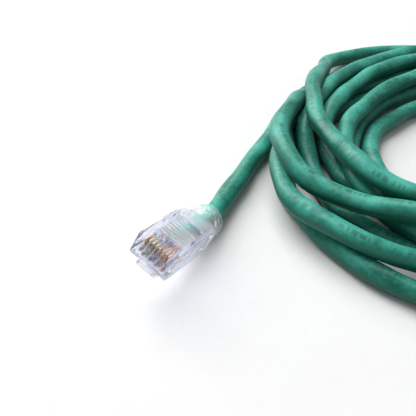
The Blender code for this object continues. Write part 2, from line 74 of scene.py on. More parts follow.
# %% [markdown]
# ## Where each plug lies
# A plug is easiest to think about in its own frame: X runs across it, Y runs from the nose to the
# cable, and Z runs from the latch side up to the contacts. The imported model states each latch's
# hinge and each nose's flat face, and those two facts are enough to rebuild the frame.

# %% Find the two plug frames
HINGE_Y = 1.20 * MM
HINGE_Z = -0.80 * MM


def plug_frame(tag):
    """Matrix of a plug: its X is the hinge's axis, its Y is against the nose's outward normal."""
    joint = next(j for j in frame["joints"] if j["child"] == f"latch_{tag}")
    nose = next(m for m in frame["record"]["mounts"] if m["name"] == f"plug_{tag}_nose")
    across = Vector(joint["axis"]).normalized()
    along = -Vector(nose["axis"]).normalized()
    up = across.cross(along).normalized()
    origin = Vector(joint["pos_m"]) - along * HINGE_Y - up * HINGE_Z
    turn = Matrix((across, along, up)).transposed().to_4x4()
    return Matrix.Translation(origin) @ turn


PLUGS = {tag: plug_frame(tag) for tag in "ab"}
for tag, matrix in PLUGS.items():
    print("plug", tag, "at", [round(v * 1000, 1) for v in matrix.translation], "mm")


# %% [markdown]
# ## Small tools for meshes
# Every new piece is a surface: a grid of points worked out as one numpy array, with one rule for
# how its rows and columns become four-sided faces. The same helper closes the ends when asked.

# %% Grid surfaces
def to_world(matrix, points):
    """Points of an array (..., 3) moved by a 4x4 matrix, as whole arrays."""
    turn = np.array(matrix.to_3x3())
    return points @ turn.T + np.array(matrix.translation)


def grid_faces(rows, columns, wrap_rows=False, wrap_columns=True):
    """Quads of a grid: point (i, j) joins (i, j+1), (i+1, j+1) and (i+1, j)."""
    last_row = rows if wrap_rows else rows - 1
    last_column = columns if wrap_columns else columns - 1
    i, j = np.meshgrid(np.arange(last_row), np.arange(last_column), indexing="ij")
    down, right = (i + 1) % rows, (j + 1) % columns
    here, below = i * columns, down * columns
    return np.stack([here + j, here + right, below + right, below + j], -1).reshape(-1, 4)


def add_piece(name, points, faces, caps=()):
    """A mesh object from an (n, 3) array, an (m, 4) array of quads, and closing polygons."""
    data = bpy.data.meshes.new(name)
    data.from_pydata(points.reshape(-1, 3).tolist(), [], faces.tolist() + [list(c) for c in caps])
    data.shade_smooth()
    made = bpy.data.objects.new(name, data)
    bpy.context.scene.collection.objects.link(made)
    return made


def face_outward(piece):
    """Turn all faces of a closed piece outwards."""
    bm = bmesh.new()
    bm.from_mesh(piece.data)
    bmesh.ops.recalc_face_normals(bm, faces=bm.faces)
    bm.to_mesh(piece.data)
    bm.free()


def add_map(piece, along, around):
    """Store a tube's UV map: u is the distance along in millimetres, v the share of the way round."""
    layer = piece.data.uv_layers.new(name="run")
    corner = np.zeros(len(piece.data.loops), np.int32)
    piece.data.loops.foreach_get("vertex_index", corner)
    rows, columns = np.divmod(corner, len(around))
    uv = np.stack([along[np.minimum(rows, len(along) - 1)], around[columns]], 1)
    starts = np.zeros(len(piece.data.polygons), np.int32)
    totals = np.zeros(len(piece.data.polygons), np.int32)
    piece.data.polygons.foreach_get("loop_start", starts)
    piece.data.polygons.foreach_get("loop_total", totals)
    face = np.repeat(np.arange(len(starts)), totals)
    highest = np.zeros(len(starts))
    np.maximum.at(highest, face, uv[:, 1])
    # A face across the seam runs from just under 1 to 0, so its low corners move up by 1
    seam = (highest[face] > 0.75) & (uv[:, 1] < 0.25)
    uv[seam, 1] += 1.0
    layer.data.foreach_set("uv", uv.astype(np.float32).reshape(-1))


# %% [markdown]
# ## The cable's route
# The cable is 12 feet (3.66 m) long and 6.1 mm thick. It leaves the first plug, lies on the table,
# meets the coil on its left side, and winds into about nine loose clockwise turns: eight whole ones
# and a part of one at each end. Real turns are never equal: each has its own radius and its own
# height at each place. So the table below gives every whole turn a radius in millimetres at twelve
# angles, and a layer, where 0 lies on the table and each layer adds 5.3 mm.

# %% Numbers of the route
CABLE_RADIUS = 3.05 * MM
CABLE_AXIS = 3.344 * MM
JACKET_START = 9.60 * MM
WINDOW_END = 14.60 * MM
BODY_END = 21.91 * MM
BOOT_END = 28.50 * MM
LAYER = 5.3 * MM
TURN_CENTRE = np.array([0.0739, 0.0848])
TAIL_CENTRE = np.array([0.0739, 0.0886])

LEAD_ROUTE_MM = (
    (-0.4, 19.6, 3.3),
    (-1.2, 27.0, 3.1),
    (-1.9, 36.0, 3.1),
    (-2.2, 45.0, 3.1),
    (-2.4, 53.4, 3.1),
    (-3.2, 63.0, 3.1),
    (-3.7, 75.0, 3.1),
    (-3.7, 88.0, 3.1),
)
# The first, outermost arc of the cable under the coil's far side: angle (degrees) and radius (mm)
FIRST_ARC = ((172, 78), (160, 77), (150, 76), (135, 76), (80, 75), (10, 56.5), (300, 66))
STATIONS = (255, 240, 225, 210, 195, 180, 165, 150, 135, 80, 10, 300)
TURNS = (
    (
        (69.5, 73.5, 76.0, 76.0, 72.0, 64.5, 59.5, 58.0, 58.5, 60, 49.5, 59),
        (0, 0, 0, 0, 0, 0, 0, 0, 0, 0, 0, 0.3),
    ),
    (
        (62.5, 71.8, 79.0, 77.0, 74.0, 70.0, 66.5, 64.5, 64.5, 65, 46, 48.5),
        (1, 1, 1, 0.8, 0.3, 0, 0, 0, 0, 0, 0, 0),
    ),
    (
        (50.0, 51.5, 52.5, 53.0, 52.5, 52.0, 52.1, 52.5, 53.5, 54, 41, 48),
        (0, 0, 0, 0, 0, 0, 0, 0, 0, 0, 0, 0.6),
    ),
    (
        (55.0, 55.5, 56.5, 56.5, 55.4, 53.2, 52.5, 53.0, 56.5, 58, 43, 46),
        (1, 1, 1, 1, 1, 1, 1, 1, 1, 1, 1, 1),
    ),
    (
        (50.0, 52.0, 53.5, 58.8, 62.3, 63.5, 62.6, 65.0, 68.2, 65, 47.5, 52),
        (1, 1, 0.3, 0, 0.3, 1, 1.1, 1, 1, 1, 1, 0.7),
    ),
    (
        (56.0, 61.0, 65.5, 66.0, 70.0, 69.5, 70.0, 70.5, 73.5, 74, 52.5, 53),
        (0.6, 0.6, 0.3, 0, 0.8, 1.1, 1.1, 1, 1, 1, 1, 2),
    ),
    (
        (51.5, 59.5, 72.0, 78.0, 74.7, 73.2, 71.4, 70.0, 70.0, 76, 50.5, 47),
        (1.9, 1.9, 1.9, 2, 1.8, 1.2, 0.5, 0, 0, 0.5, 2, 2),
    ),
    (
        (46.0, 52.2, 59.3, 60.7, 66.8, 71.3, 77.7, 89.0, 88.5, 72, 44, 45),
        (2.1, 2.2, 2.25, 2.3, 2.25, 2.1, 1.5, 0.4, 0, 1.5, 2, 0.6),
    ),
)
# The tail inside the coil: angle round the coil's centre (degrees), radius and height (mm)
TAIL_ROUTE = (
    (257.0, 48.2, 3.1),
    (242.0, 48.3, 3.1),
    (224.0, 48.0, 3.1),
    (210.0, 48.0, 3.1),
    (197.0, 47.8, 3.1),
    (185.0, 46.3, 3.1),
    (172.0, 43.6, 3.1),
    (155.0, 41.4, 3.1),
    (135.0, 40.6, 3.1),
    (113.6, 38.2, 3.1),
    (93.3, 33.3, 3.1),
    (72.9, 27.6, 3.1),
    (53.3, 21.9, 3.5),
    (30.9, 17.1, 4.4),
)
# Angles between which the plan is trusted most, because there the turns face the camera
VIEWED_FROM, VIEWED_TO = 128, 258
ARC_STEP = math.radians(6)
ROUTE_STEP = 3.0 * MM


# %% [markdown]
# A cubic curve through the stations, in terms of the angle, keeps each turn round. The same cubic
# rule then joins the lead, the turns and the tail in space. Each cubic needs a slope at its ends,
# and the slope that suits unevenly spaced stations is the mean of both neighbours' slopes, where
# the nearer neighbour counts for more.

# %% Cubic curves through stations
def cubic_through(at, values, wanted):
    """Values at the wanted places on a cubic (Hermite) curve through values given at rising places."""
    span = np.diff(at)[:, None]
    rise = np.diff(values, axis=0) / span
    slope = np.empty_like(values)
    slope[1:-1] = (rise[:-1] * span[1:] + rise[1:] * span[:-1]) / (span[1:] + span[:-1])
    slope[0], slope[-1] = rise[0], rise[-1]
    i = np.clip(np.searchsorted(at, wanted, side="right") - 1, 0, len(at) - 2)
    t = ((wanted - at[i])[:, None]) / span[i]
    start, end = values[i], values[i + 1]
    return (
        (2 * t**3 - 3 * t**2 + 1) * start
        + (t**3 - 2 * t**2 + t) * span[i] * slope[i]
        + (3 * t**2 - 2 * t**3) * end
        + (t**3 - t**2) * span[i] * slope[i + 1]
    )


def on_circle(centre, degrees, radius, height):
    """Points at angles and radii round a centre: (x + r cos a, y + r sin a, height)."""
    angle = np.radians(degrees)
    return np.stack([centre[0] + radius * np.cos(angle), centre[1] + radius * np.sin(angle), height], -1)


def even_points(points, marks, step):
    """Resample a polyline at even steps; marks are carried along with it."""
    run = np.concatenate([[0.0], np.cumsum(np.linalg.norm(np.diff(points, axis=0), axis=1))])
    at = np.linspace(0.0, run[-1], int(round(run[-1] / step)) + 1)
    even = np.stack([np.interp(at, run, points[:, k]) for k in range(3)], 1)
    return even, np.interp(at, run, marks)


def wound_turns():
    """All turns of the coil as one line that winds clockwise, with a mark of 1 where it is in view."""
    angles = [degrees for degrees, _ in FIRST_ARC] + list(STATIONS) * len(TURNS)
    radii = [radius for _, radius in FIRST_ARC]
    heights = [0.0] * len(FIRST_ARC)
    for turn_radii, turn_layers in TURNS:
        radii += turn_radii
        heights += turn_layers
    unwound = -np.unwrap(np.radians(np.array(angles, float)))
    values = np.stack([np.array(radii) * MM, CABLE_RADIUS + np.array(heights) * LAYER], 1)
    wanted = np.arange(unwound[0], unwound[-1], ARC_STEP)
    curve = cubic_through(unwound, values, wanted)
    degrees = np.degrees(-wanted)
    in_view = (degrees % 360 >= VIEWED_FROM) & (degrees % 360 <= VIEWED_TO)
    return on_circle(TURN_CENTRE, degrees, curve[:, 0], curve[:, 1]), in_view.astype(float)


def jacket_in_plug(matrix, places):
    """Points on the cable's axis inside a plug."""
    return to_world(matrix, np.array([(0.0, y, CABLE_AXIS) for y in places]))


def planned_route():
    """The whole route: plug A, the lead, the turns, the tail and plug B, at even steps."""
    inside = (JACKET_START, WINDOW_END, BODY_END, BOOT_END)
    turns, in_view = wound_turns()
    tail = np.array(TAIL_ROUTE)
    tail = on_circle(TAIL_CENTRE, tail[:, 0], tail[:, 1] * MM, tail[:, 2] * MM)
    stretches = [
        jacket_in_plug(PLUGS["a"], inside),
        np.array(LEAD_ROUTE_MM) * MM,
        turns,
        tail,
        jacket_in_plug(PLUGS["b"], inside[::-1]),
    ]
    marks = [np.ones(4), np.ones(len(LEAD_ROUTE_MM)), in_view, np.ones(len(tail)), np.ones(4)]
    knots = np.concatenate(stretches)
    marks = np.concatenate(marks)
    run = np.concatenate([[0.0], np.cumsum(np.linalg.norm(np.diff(knots, axis=0), axis=1))])
    fine = np.arange(0.0, run[-1], ROUTE_STEP / 6)
    return even_points(cubic_through(run, knots, fine), np.interp(fine, run, marks), ROUTE_STEP)


route, held = planned_route()
print("planned route:", len(route), "points")

# %% [markdown]
# The plan says roughly where each turn goes, but real turns also touch and lie on each other.
# So the route settles: again and again each point sinks a little, leans back to its plan, bends as
# stiffly as cable does, and is pushed away from any other turn that is closer than a diameter.
# It is a small physics simulation in plain numpy, and it gives the same result every time.


# %% Let the turns settle on each other
ROUNDS = 260
HELD_ENDS = 12                     # points at each end that stay inside their plug
CONTACT_GAP = 0.04 * MM
CONTACT_SEARCH = 3.5 * MM
NEIGHBOURHOOD = 0.014              # distance along the line within which nothing pushes
CALM_SHARE = 0.8                   # share of the rounds after which the plan lets go


def close_pairs(points, reach, skip):
    """Index pairs of points nearer than reach that are at least skip apart along the line."""
    apart = np.linalg.norm(points[:, None, :] - points[None, :, :], axis=2)
    return np.nonzero(np.triu(apart < reach, skip))


def settle(plan, hold):
    """Relax the plan under weight, stiffness and contact; hold is 1 where the plan is trusted."""
    gap = 2 * CABLE_RADIUS + CONTACT_GAP
    count = len(plan)
    skip = int(math.ceil(NEIGHBOURHOOD / ROUTE_STEP))
    fixed = np.zeros(count, bool)
    fixed[:HELD_ENDS] = True
    fixed[-HELD_ENDS:] = True
    points = plan.copy()
    for number in range(ROUNDS):
        if number % 10 == 0:
            first, second = close_pairs(points, gap + CONTACT_SEARCH, skip)
        calm = number > ROUNDS * CALM_SHARE
        pull = (0.02 + 0.10 * hold) * (0.3 if calm else 1.0)
        points[:, :2] += pull[:, None] * (plan[:, :2] - points[:, :2])
        if not calm:
            points[:, 2] += 0.035 * hold * (plan[:, 2] - points[:, 2]) - 0.04 * MM
        bend = points[:-4] - 4 * points[1:-3] + 6 * points[2:-2] - 4 * points[3:-1] + points[4:]
        points[2:-2] -= 0.06 * bend
        for _ in range(3):
            between = points[second] - points[first]
            far = np.linalg.norm(between, axis=1) + 1e-12
            push = between / far[:, None] * (np.clip(gap - far, 0, None) * 0.4)[:, None]
            for axis in range(3):
                points[:, axis] += np.bincount(second, push[:, axis], count)
                points[:, axis] -= np.bincount(first, push[:, axis], count)
            points[:, 2] = np.maximum(points[:, 2], CABLE_RADIUS + 0.02 * MM)
        points[fixed] = plan[fixed]
    return points


settled = settle(route, held)
settled_length = np.linalg.norm(np.diff(settled, axis=0), axis=1).sum()
highest_point = settled[:, 2].max() / MM
print("settled route:", round(settled_length, 3), "m, highest point", round(highest_point, 1), "mm")

# %% [markdown]
# ## The jacket
# A tube follows the settled route. Its round section is drawn across the route at every step. The
# four twisted pairs inside press faintly through the thin jacket, so the section is not a perfect
# circle: soft bulges wind round it, its thickness drifts and its line wavers a little along its
# length. Inside each plug the strain relief squeezes it.

# %% Sweep the jacket along the route
SIDES = 24
TUBE_STEP = 1.9 * MM
PAIR_TWIST = 34.0 * MM
WAVE = 0.28 * MM
BULGE = 0.042
DRIFT = 0.055
DRIFT_WAVES = ((0.0113, 0.0), (0.0071, 1.3), (0.0193, 0.4))
SQUEEZE = 0.785
SQUEEZE_REACH = 0.013              # how far from the cable's end the strain relief squeezes it
WAVE_FREE = 0.022                  # how far from the cable's end it starts to waver
WAVE_FADE = 0.015


def along_and_frames(line):
    """Distance along a line, and its tangent, side and upward directions at each point."""
    run = np.concatenate([[0.0], np.cumsum(np.linalg.norm(np.diff(line, axis=0), axis=1))])
    tangent = np.gradient(line, axis=0)
    tangent /= np.linalg.norm(tangent, axis=1)[:, None]
    side = np.cross(tangent, np.array([0.0, 0.0, 1.0]))
    side /= np.linalg.norm(side, axis=1)[:, None]
    return run, side, np.cross(side, tangent)


def smoothed(line, rounds):
    """A line with each inner point drawn to its neighbours' mean, a few times."""
    line = line.copy()
    for _ in range(rounds):
        line[1:-1] += 0.25 * (line[:-2] - 2 * line[1:-1] + line[2:])
    return line


def jacket_section(run, total):
    """Radius of the jacket at (distance, angle): round, with winding bulges and a slow drift."""
    angle = np.linspace(0.0, math.tau, SIDES, endpoint=False)[None, :]
    s = run[:, None]
    bulge = BULGE * np.cos(2 * angle - math.tau * s / PAIR_TWIST)
    bulge = bulge + 0.6 * BULGE * np.cos(3 * angle + math.tau * s / (PAIR_TWIST * 0.61))
    drift = sum(np.sin(s / length + phase) for length, phase in DRIFT_WAVES)
    from_end = np.minimum(s, total - s)
    inside = np.clip((BOOT_END - JACKET_START - from_end) / (6 * MM), 0.0, 1.0)
    squeeze = 1.0 - (1.0 - SQUEEZE) * np.clip((SQUEEZE_REACH - from_end) / (3 * MM), 0.0, 1.0)
    return CABLE_RADIUS * squeeze * (1.0 + (bulge + DRIFT / 3 * drift) * (1.0 - inside) - 0.5 * DRIFT)


def wavy(line):
    """The line moved sideways by WAVE (sin(s/3.1) sin(s/24.7 + 0.8) + 0.7 sin(s/5.2 + 1.1)), s in mm.

    The waves fade out towards both plugs.
    """
    run, side, _ = along_and_frames(line)
    fade = np.clip((np.minimum(run, run[-1] - run) - WAVE_FREE) / WAVE_FADE, 0.0, 1.0)
    wave = np.sin(run / 0.0031) * np.sin(run / 0.0247 + 0.8) + 0.7 * np.sin(run / 0.0052 + 1.1)
    return line + side * (WAVE * fade * wave)[:, None]


def add_tube(name, line, side, up, radius, along, sides):
    """Closed tube: at each point of the line, point + radius (side cos a + up sin a) at even angles a."""
    angle = np.linspace(0.0, math.tau, sides, endpoint=False)[:, None]
    rim = side[:, None, :] * np.cos(angle)[None] + up[:, None, :] * np.sin(angle)[None]
    points = line[:, None, :] + rim * radius[:, :, None]
    last = len(line) * sides - 1
    ends = (range(sides), range(last, last - sides, -1))
    piece = add_piece(name, points, grid_faces(len(line), sides), ends)
    face_outward(piece)
    add_map(piece, along, angle[:, 0] / math.tau)
    return piece


line, _ = even_points(wavy(smoothed(settled, 2)), np.ones(len(settled)), TUBE_STEP)
run, side, up = along_and_frames(line)
jacket = add_tube("jacket", line, side, up, jacket_section(run, run[-1]), run * 1000, SIDES)
print("jacket:", len(jacket.data.polygons), "faces,", round(run[-1], 3), "m")


# %% [markdown]
# ## Finishes
# Each finish is one Principled BSDF, fed by a few procedural nodes. Two effects are used by more
# than one finish, so they are node groups: `speckle`, a two-scale noise mask that varies colour and
# roughness, and `ripple`, a fine surface bump for moulded and extruded plastic.

# %% Node helpers and shared groups
def add_node(tree, kind, **inputs):
    """A node of one kind, with values for its named inputs (underscores stand for spaces)."""
    made = tree.nodes.new(kind)
    for name, value in inputs.items():
        made.inputs[name.replace("_", " ")].default_value = value
    return made


def math_node(tree, operation, first, second=None, clamp=False):
    """A Math node; each operand is a number or a socket."""
    made = tree.nodes.new("ShaderNodeMath")
    made.operation = operation
    made.use_clamp = clamp
    for socket, value in zip(made.inputs, (first, second)):
        if isinstance(value, (int, float)):
            socket.default_value = value
        elif value is not None:
            tree.links.new(value, socket)
    return made.outputs[0]


def mix_colour(tree, share, first, second):
    """A colour mix; the share and the colours may be sockets."""
    made = tree.nodes.new("ShaderNodeMix")
    made.data_type = "RGBA"
    for socket, value in ((made.inputs[0], share), (made.inputs[6], first), (made.inputs[7], second)):
        if isinstance(value, bpy.types.NodeSocket):
            tree.links.new(value, socket)
        else:
            socket.default_value = value
    return made.outputs[2]


def new_group(name, inputs, outputs):
    """A node group with named float inputs (and their defaults) and float outputs."""
    group = bpy.data.node_groups.new(name, "ShaderNodeTree")
    for label, default in inputs:
        socket = group.interface.new_socket(label, in_out="INPUT", socket_type="NodeSocketFloat")
        socket.default_value = default
    for label in outputs:
        group.interface.new_socket(label, in_out="OUTPUT", socket_type="NodeSocketFloat")
    return group, group.nodes.new("NodeGroupInput"), group.nodes.new("NodeGroupOutput")


def speckle_group():
    """Mask from 0 to 1: coarse noise plus a share of fine noise, spread by the contrast."""
    inputs = (("Scale", 100.0), ("Fine", 0.3), ("Contrast", 1.6))
    group, source, target = new_group("speckle", inputs, ("Mask",))
    place = group.nodes.new("ShaderNodeTexCoord").outputs["Object"]
    coarse = add_node(group, "ShaderNodeTexNoise", Detail=2.0)
    fine = add_node(group, "ShaderNodeTexNoise", Detail=3.0)
    for noise in (coarse, fine):
        group.links.new(place, noise.inputs["Vector"])
    group.links.new(source.outputs["Scale"], coarse.inputs["Scale"])
    group.links.new(math_node(group, "MULTIPLY", source.outputs["Scale"], 9.0), fine.inputs["Scale"])
    fine_even = math_node(group, "SUBTRACT", fine.outputs[0], 0.5)
    fine_part = math_node(group, "MULTIPLY", fine_even, source.outputs["Fine"])
    both = math_node(group, "ADD", math_node(group, "SUBTRACT", coarse.outputs[0], 0.5), fine_part)
    spread = math_node(group, "MULTIPLY", both, source.outputs["Contrast"])
    group.links.new(math_node(group, "ADD", spread, 0.5, clamp=True), target.inputs["Mask"])
    return group


def ripple_group():
    """Height for a Bump node: soft noise at one scale and a faint finer grain on it."""
    group, source, target = new_group("ripple", (("Scale", 400.0), ("Grain", 0.2)), ("Height",))
    place = group.nodes.new("ShaderNodeTexCoord").outputs["Object"]
    soft = add_node(group, "ShaderNodeTexNoise", Detail=1.0)
    grain = add_node(group, "ShaderNodeTexNoise", Detail=2.0)
    for noise in (soft, grain):
        group.links.new(place, noise.inputs["Vector"])
    group.links.new(source.outputs["Scale"], soft.inputs["Scale"])
    group.links.new(math_node(group, "MULTIPLY", source.outputs["Scale"], 7.0), grain.inputs["Scale"])
    grain_part = math_node(group, "MULTIPLY", grain.outputs[0], source.outputs["Grain"])
    group.links.new(math_node(group, "ADD", soft.outputs[0], grain_part), target.inputs["Height"])
    return group


SPECKLE = speckle_group()
RIPPLE = ripple_group()
print("shared groups:", SPECKLE.name, "and", RIPPLE.name)


# %% Finish helpers
def new_finish(name, **values):
    """A material whose Principled BSDF takes plain values; returns material, tree and shader."""
    made = bpy.data.materials.new(name)
    made.use_nodes = True
    tree = made.node_tree
    shader = tree.nodes["Principled BSDF"]
    for label, value in values.items():
        shader.inputs[label.replace("_", " ")].default_value = value
    return made, tree, shader


def use_group(tree, group, **values):
    """Place a shared group in a material, with its own values."""
    made = tree.nodes.new("ShaderNodeGroup")
    made.node_tree = group
    for label, value in values.items():
        made.inputs[label].default_value = value
    return made.outputs[0]


def add_bump(tree, shader, height, strength, distance):
    """Feed a height into the shader's normal."""
    bump = add_node(tree, "ShaderNodeBump", Strength=strength, Distance=distance)
    tree.links.new(height, bump.inputs["Height"])
    tree.links.new(bump.outputs["Normal"], shader.inputs["Normal"])


def spread_range(tree, value, low, high):
    """Map a mask from 0..1 to low..high."""
    made = add_node(tree, "ShaderNodeMapRange", To_Min=low, To_Max=high)
    tree.links.new(value, made.inputs["Value"])
    return made.outputs[0]


# %% [markdown]
# The jacket is green PVC with a satin skin. It is not one green: its colour varies in paler patches,
# and glossier rubbed patches vary its roughness. The paler patches are painted only on upward-facing
# surfaces, as a painted highlight where the light falls on the tops. A line of dark ink runs along part of it.
# On the real cable that line is print, and here it is only plain bars: a bar is inked where a
# random number for its place along the cable is high, inside a narrow band round the cable.

# %% The jacket's finish
DEEP_GREEN = (0.0005, 0.112, 0.072, 1.0)
# Pale green for a painted highlight: it is laid in patches on upward-facing surfaces, where the light falls.
PATCH_AND_HIGHLIGHT_GREEN = (0.060, 0.450, 0.340, 1.0)
INK = (0.008, 0.050, 0.042, 1.0)
INK_CENTRE = 0.30                  # share of the way round at which the inked band lies
INK_HALF_WIDTH = 0.036
INK_BAR = 0.55                     # length of a bar along the cable, in millimetres
INK_STRENGTH = 0.38


def sine_of(tree, value, rate):
    """Sine of a socket's value times a rate."""
    return math_node(tree, "SINE", math_node(tree, "MULTIPLY", value, rate))


def ink_mask(tree):
    """1 on the inked bars: narrow in the share round, random along the run, in long groups."""
    place = tree.nodes.new("ShaderNodeUVMap")
    place.uv_map = "run"
    split = tree.nodes.new("ShaderNodeSeparateXYZ")
    tree.links.new(place.outputs[0], split.inputs[0])
    along, around = split.outputs[0], split.outputs[1]
    drift = math_node(tree, "MULTIPLY", sine_of(tree, along, 0.011), 0.07)
    centre = math_node(tree, "ADD", drift, INK_CENTRE)
    off_line = math_node(tree, "ABSOLUTE", math_node(tree, "SUBTRACT", around, centre))
    band = math_node(tree, "LESS_THAN", off_line, INK_HALF_WIDTH)
    chance = tree.nodes.new("ShaderNodeTexWhiteNoise")
    chance.noise_dimensions = "1D"
    tree.links.new(math_node(tree, "SNAP", along, INK_BAR), chance.inputs["W"])
    bar = math_node(tree, "GREATER_THAN", chance.outputs[0], 0.45)
    cluster = math_node(tree, "GREATER_THAN", sine_of(tree, along, 0.42), -0.55)
    group = math_node(tree, "GREATER_THAN", sine_of(tree, along, 0.031), -0.25)
    both = math_node(tree, "MULTIPLY", band, bar)
    return math_node(tree, "MULTIPLY", math_node(tree, "MULTIPLY", both, cluster), group)


def jacket_finish():
    """Satin green PVC with pale patches painted on upward faces as a painted highlight, and faded ink."""
    made, tree, shader = new_finish(
        "green_pvc",
        IOR=1.5,
        Specular_IOR_Level=0.35,
        Sheen_Weight=0.06,
        Sheen_Roughness=0.4,
    )
    patches = use_group(tree, SPECKLE, Scale=95.0, Fine=0.5, Contrast=1.9)
    facing = tree.nodes.new("ShaderNodeNewGeometry").outputs["Normal"]
    split = tree.nodes.new("ShaderNodeSeparateXYZ")
    tree.links.new(facing, split.inputs[0])
    # Upward-facing surfaces are painted paler in patches: a painted highlight from the light above, not dust.
    upward = math_node(tree, "SUBTRACT", split.outputs[2], 0.1)
    painted_lit_top = math_node(tree, "MULTIPLY", upward, 1.35, clamp=True)
    patch_share = math_node(tree, "ADD", math_node(tree, "MULTIPLY", patches, 1.1), 0.05)
    patch_and_highlight_share = math_node(tree, "MULTIPLY", patch_share, painted_lit_top, clamp=True)
    green = mix_colour(tree, patch_and_highlight_share, DEEP_GREEN, PATCH_AND_HIGHLIGHT_GREEN)
    ink = math_node(tree, "MULTIPLY", ink_mask(tree), INK_STRENGTH)
    tree.links.new(mix_colour(tree, ink, green, INK), shader.inputs["Base Color"])
    tree.links.new(spread_range(tree, patches, 0.34, 0.52), shader.inputs["Roughness"])
    add_bump(tree, shader, use_group(tree, RIPPLE, Scale=260.0, Grain=0.15), 0.35, 0.0004)
    return made


jacket.data.materials.append(jacket_finish())
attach(jacket, "root")
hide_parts("cable_lead", "cable_coil", "cable_tail")
print("jacket finish:", jacket.data.materials[0].name)

# %% [markdown]
# The plug's body, latch, load bar and strain relief are clear polycarbonate, and the boot is a
# softer clear plastic. Clear plastic is mostly transmission, and what we see is the bright table
# through it. Its index is kept lower than real plastic's, so that stacked walls stay bright, and a
# glossy coat gives back the highlights. A faint violet in its colour deepens at the edges, where
# light passes through more plastic. Its shadow is nearly clear.


# %% Clear plastics, gold and copper
def clear_finish(name, colour, through, roughness, gloss, ior, strength):
    """Clear plastic: mostly transmission, a faint tint and slightly wavy moulded faces."""
    made, tree, shader = new_finish(
        name,
        Base_Color=colour,
        IOR=ior,
        Transmission_Weight=through,
        Coat_Weight=0.8,
        Coat_IOR=1.5,
        Coat_Roughness=gloss,
    )
    waves = use_group(tree, RIPPLE, Scale=900.0, Grain=0.1)
    varied = spread_range(tree, waves, roughness * 0.6, roughness * 1.6)
    tree.links.new(varied, shader.inputs["Roughness"])
    add_bump(tree, shader, waves, strength, 0.00005)
    clear = tree.nodes.new("ShaderNodeBsdfTransparent")
    clear.inputs["Color"].default_value = (0.965, 0.968, 0.985, 1.0)
    rays = tree.nodes.new("ShaderNodeLightPath")
    mixed = tree.nodes.new("ShaderNodeMixShader")
    tree.links.new(rays.outputs["Is Shadow Ray"], mixed.inputs[0])
    tree.links.new(shader.outputs[0], mixed.inputs[1])
    tree.links.new(clear.outputs[0], mixed.inputs[2])
    tree.links.new(mixed.outputs[0], tree.nodes["Material Output"].inputs["Surface"])
    return made


def gold_finish():
    """Thin gold over bronze: bright, with fine rolled lines that vary the roughness."""
    made, tree, shader = new_finish("gold_plate", Metallic=1.0)
    mask = use_group(tree, SPECKLE, Scale=1400.0, Fine=0.6, Contrast=1.5)
    gold = mix_colour(tree, mask, (0.93, 0.62, 0.26, 1.0), (0.80, 0.47, 0.17, 1.0))
    tree.links.new(gold, shader.inputs["Base Color"])
    tree.links.new(spread_range(tree, mask, 0.26, 0.42), shader.inputs["Roughness"])
    return made


CLEAR_PLASTIC = clear_finish("clear_plastic", (0.890, 0.902, 0.985, 1.0), 0.90, 0.03, 0.06, 1.12, 0.12)
CLEAR_VINYL = clear_finish("clear_vinyl", (0.955, 0.965, 0.985, 1.0), 0.86, 0.12, 0.10, 1.16, 0.4)
RIBBED_PLASTIC = clear_finish("ribbed_plastic", (0.960, 0.965, 0.985, 1.0), 0.82, 0.06, 0.08, 1.30, 0.15)
GOLD = gold_finish()
print("finishes:", CLEAR_PLASTIC.name, CLEAR_VINYL.name, GOLD.name)


# %% [markdown]
# ## The moulded pieces of each plug
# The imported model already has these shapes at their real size, as plain triangles with hard edges.
# Real mouldings have edges rounded to about a tenth of a millimetre, and on clear plastic those
# edges are what catches the light. So each piece is a copy of its solid, with its triangles joined
# into flat faces again, and a fine bevel on its edges.

# %% Refine the moulded solids
FINE_EDGE = 0.07 * MM
BLADE_EDGE = 0.04 * MM


def refined(node, name, edge, material, body):
    """A copy of a solid: doubles merged, flat triangles joined, edges finely rounded."""
    data = frame["nodes"][node].data.copy()
    data.materials.clear()
    bm = bmesh.new()
    bm.from_mesh(data)
    bmesh.ops.remove_doubles(bm, verts=bm.verts, dist=1e-7)
    bmesh.ops.dissolve_limit(bm, angle_limit=math.radians(0.5), verts=bm.verts, edges=bm.edges)
    bm.to_mesh(data)
    bm.free()
    data.name = name
    piece = bpy.data.objects.new(name, data)
    bpy.context.scene.collection.objects.link(piece)
    round_off = piece.modifiers.new("fine_edges", "BEVEL")
    round_off.width = edge
    round_off.segments = 2
    round_off.limit_method = "ANGLE"
    round_off.angle_limit = math.radians(30)
    round_off.harden_normals = True
    data.shade_smooth()
    data.materials.append(material)
    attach(piece, body)
    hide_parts(node)
    return piece


mouldings = {}
for tag in "ab":
    for part, edge, finish in (
        ("housing", FINE_EDGE, CLEAR_PLASTIC),
        ("load_bar", FINE_EDGE * 0.6, CLEAR_PLASTIC),
        ("strain_relief", FINE_EDGE, RIBBED_PLASTIC),
    ):
        node = f"{part}_{tag}"
        mouldings[node] = refined(node, f"{node}_clear", edge, finish, "root")
    node = f"latch_{tag}"
    mouldings[node] = refined(node, f"{node}_clear", FINE_EDGE, CLEAR_PLASTIC, node)
    for pin in range(1, 9):
        node = f"contact_{tag}{pin}"
        mouldings[node] = refined(node, f"{node}_blade", BLADE_EDGE, GOLD, "root")
print("refined solids:", len(mouldings))

# %% [markdown]
# ## The boots
# The boot slides over the plug's neck. At its front it is a rounded square collar, and towards the
# cable it tapers to a round sleeve with three raised rings. Every cross-section is a superellipse,
# the curve |x/a|^n + |z/b|^n = 1, which goes from nearly square (n = 7) to round (n = 2). The wall
# runs back along the outside and forward again along the inside, so it is one closed surface.

